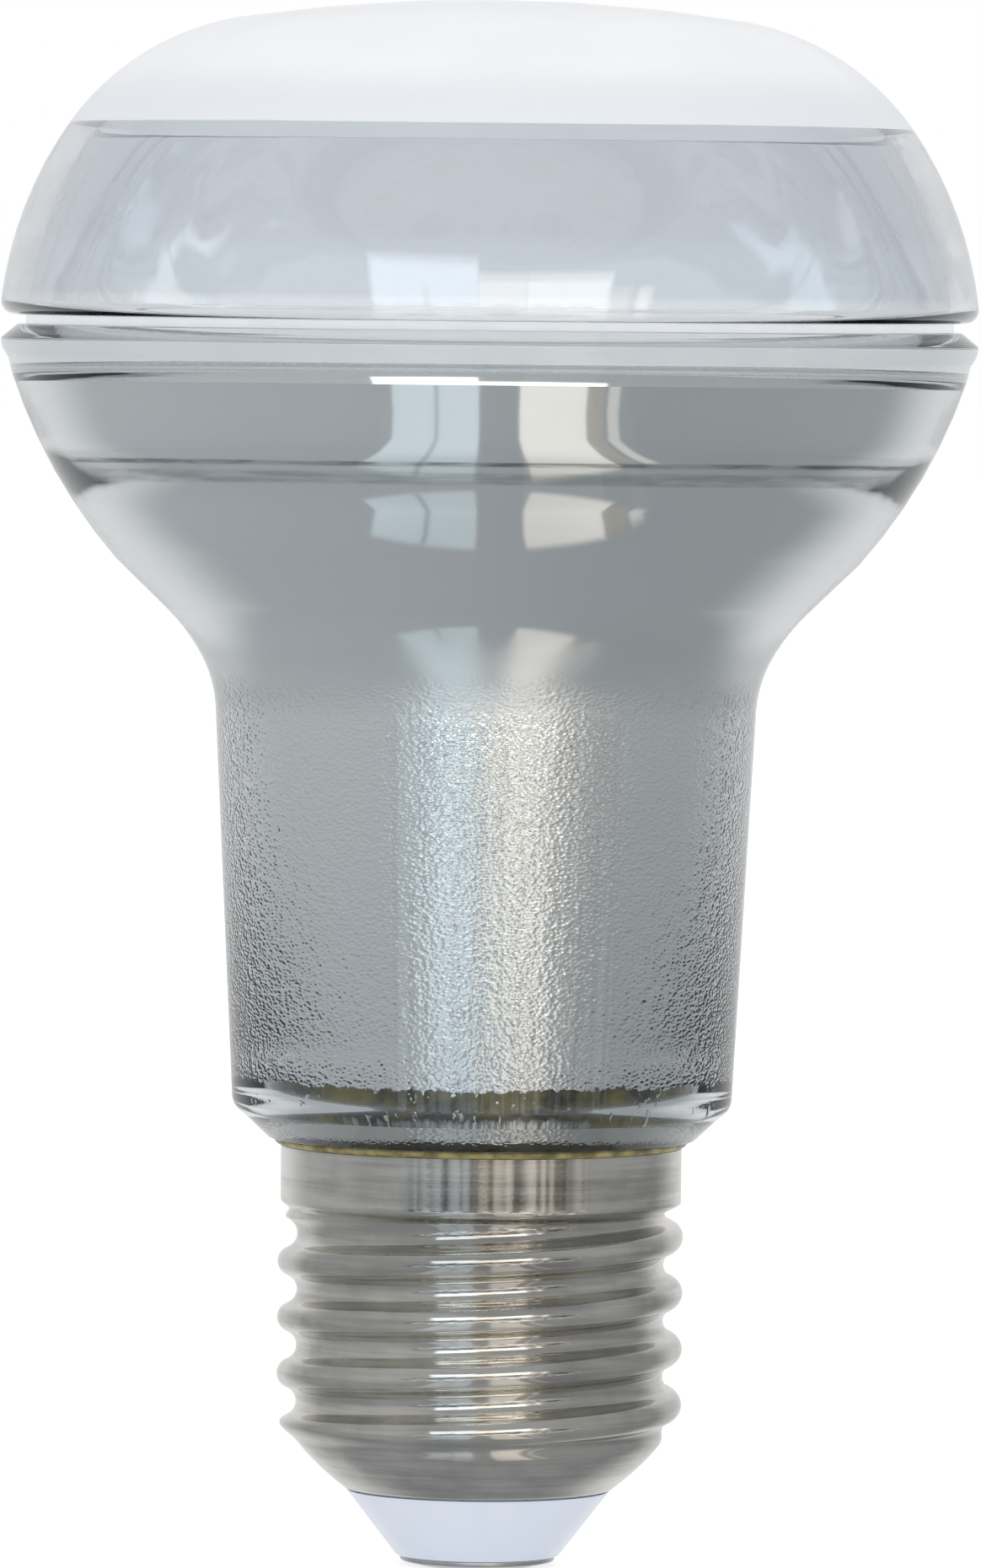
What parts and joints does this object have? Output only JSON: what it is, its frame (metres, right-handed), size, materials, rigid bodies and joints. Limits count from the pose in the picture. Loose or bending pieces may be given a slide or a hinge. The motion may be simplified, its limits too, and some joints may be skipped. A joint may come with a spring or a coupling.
{
  "type": "reflector bulb",
  "caption": "Reflector bulb with a mirrored glass body, a frosted dome with a clear band, and a screw cap that holds a diode driver.",
  "frame": {"origin": "centre of the centre contact's flat underside, on the bulb's axis", "axes": "+Z along the axis, from the cap towards the dome; the thread's crest at +X is 10.47 mm above the origin"},
  "size_m": [0.063, 0.063, 0.101],
  "materials": {
    "clear_cover": "clear plastic with a faint lilac tint, frosted on its crown",
    "adhesive_clear": "clear silicone",
    "mirrored_glass": "clear glass, mirrored inside by an aluminium film",
    "mirror_film": "vacuum-deposited aluminium on the inner wall of the glass",
    "cement": "olive-yellow cement",
    "nickel": "nickel-plated brass sheet, satin with polished threads",
    "insulator_white": "glossy white",
    "contact_metal": "nickel-plated brass",
    "sleeve_white": "white flame-retardant plastic",
    "silicone_olive": "translucent olive-brown silicone",
    "aluminium": "plain drawn sheet",
    "thermal_grey": "grey thermal compound",
    "solder_mask_white": "white solder mask on an aluminium board",
    "led_package": "white package with a yellow phosphor window",
    "screw_steel": "zinc-plated steel",
    "board_green": "green solder mask on glass-fibre board",
    "can_black": "black shrink sleeve",
    "ferrite": "grey-black ferrite",
    "copper_wire": "enamelled copper",
    "film_red": "dark red dipped film capacitor",
    "chip_black": "black moulded package",
    "resistor_green": "glazed resistor body",
    "tinned_wire": "tinned copper",
    "bush_white": "white plastic"
  },
  "bodies": {
    "root": {"front_cover": "clear_cover", "cover_adhesive": "adhesive_clear", "reflector_glass": "mirrored_glass", "cap_cement": "cement", "cap_shell": "nickel", "cap_insulator": "insulator_white", "centre_contact": "contact_metal", "driver_sleeve": "sleeve_white", "sleeve_silicone": "silicone_olive", "heat_spreader": "aluminium", "spreader_glue": "thermal_grey", "thermal_pad": "thermal_grey", "led_board": "solder_mask_white", "board_screw_left": "screw_steel", "board_screw_right": "screw_steel", "driver_board": "board_green", "input_capacitor": "can_black", "output_capacitor": "can_black", "choke_core": "ferrite", "choke_winding": "copper_wire", "film_capacitor": "film_red", "bridge_rectifier": "chip_black", "driver_chip": "chip_black", "output_diode": "chip_black", "fuse_resistor": "resistor_green", "output_pin_left": "tinned_wire", "output_pin_right": "tinned_wire", "pin_bush": "bush_white", "shell_lead": "tinned_wire", "contact_lead": "tinned_wire", "led_01": "led_package", "led_02": "led_package", "led_03": "led_package", "led_04": "led_package", "led_05": "led_package", "led_06": "led_package", "led_07": "led_package", "led_08": "led_package", "led_09": "led_package", "led_10": "led_package", "led_11": "led_package", "led_12": "led_package"}
  },
  "joints": []
}
